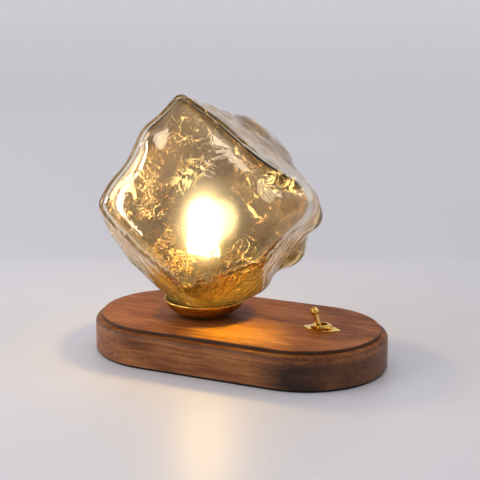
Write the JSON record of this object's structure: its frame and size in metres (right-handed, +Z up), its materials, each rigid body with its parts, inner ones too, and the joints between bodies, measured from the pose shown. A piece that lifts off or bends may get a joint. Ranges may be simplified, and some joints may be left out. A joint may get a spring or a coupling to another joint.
{
  "type": "accent lamp",
  "caption": "Accent lamp: hollow faceted block of amber glass tipped on a corner in a brass cup, lit from inside, on an oval wooden base with a ball toggle switch.",
  "frame": {"origin": "centre of the pad's underside, where the lamp stands on the table", "axes": "+X along the base towards the switch, +Y towards the back with the cord inlet, +Z up"},
  "size_m": [0.24, 0.1526, 0.2102],
  "materials": {
    "walnut": "oiled open-grain timber",
    "foam_pad": "black foam rubber",
    "painted_steel": "matt black paint",
    "zinc_steel": "zinc plated",
    "polished_brass": "polished and lacquered",
    "plain_brass": "as turned",
    "mirrored_glass": "thin metallised champagne coat",
    "black_plastic": "moulded",
    "white_plastic": "moulded",
    "ceramic": "fired, unglazed",
    "rubber": "moulded",
    "brown_sleeve": "extruded",
    "blue_sleeve": "extruded",
    "clear_cover": "clear, lit from inside",
    "lit_board": "white board with lit chips",
    "spring_steel": "drawn wire"
  },
  "bodies": {
    "base": {"base_block": "walnut", "bottom_cover": "painted_steel", "cover_screws": "zinc_steel", "base_pad": "foam_pad", "cord_inlet_bush": "black_plastic", "cord_inlet_nut": "black_plastic", "terminal_block": "white_plastic", "terminal_inserts": "plain_brass", "terminal_clamp_screws": "zinc_steel", "terminal_block_screw": "zinc_steel", "threaded_tube": "zinc_steel", "tube_washer": "zinc_steel", "tube_nut": "zinc_steel", "shade_cup": "polished_brass", "cup_nut": "zinc_steel", "shade_gasket": "rubber", "neck_collar": "plain_brass", "glass_shade_left": "mirrored_glass", "glass_shade_right": "mirrored_glass", "glass_neck": "mirrored_glass", "lampholder_cap": "plain_brass", "lampholder_body": "ceramic", "lampholder_contacts": "plain_brass", "bulb_base": "white_plastic", "bulb_pins": "zinc_steel", "bulb_envelope": "clear_cover", "led_board": "lit_board", "switch_body": "black_plastic", "switch_bushing": "polished_brass", "switch_plate": "polished_brass", "switch_nut": "polished_brass", "switch_back_nut": "plain_brass", "switch_lock_washer": "zinc_steel", "lever_pin": "zinc_steel", "rocker_pin": "zinc_steel", "terminal_common": "plain_brass", "terminal_switched": "plain_brass", "lead_live": "brown_sleeve", "lead_switched": "brown_sleeve", "lead_neutral": "blue_sleeve"},
    "lever": {"toggle_lever": "polished_brass", "plunger": "plain_brass", "plunger_spring": "spring_steel"},
    "rocker": {"contact_rocker": "plain_brass"}
  },
  "joints": [
    {"name": "toggle", "type": "hinge", "parent": "base", "child": "lever", "pos_m": [0.07, 0, 0.028], "axis": [0, 1, 0], "range_deg": [0, 42]},
    {"name": "rocker_tilt", "type": "hinge", "parent": "base", "child": "rocker", "pos_m": [0.07, 0, 0.0127], "axis": [0, 1, 0], "range_deg": [-18, 2]}
  ],
  "couplings": [
    {"joint": "rocker_tilt", "follows": "toggle", "ratio": -0.38095}
  ]
}
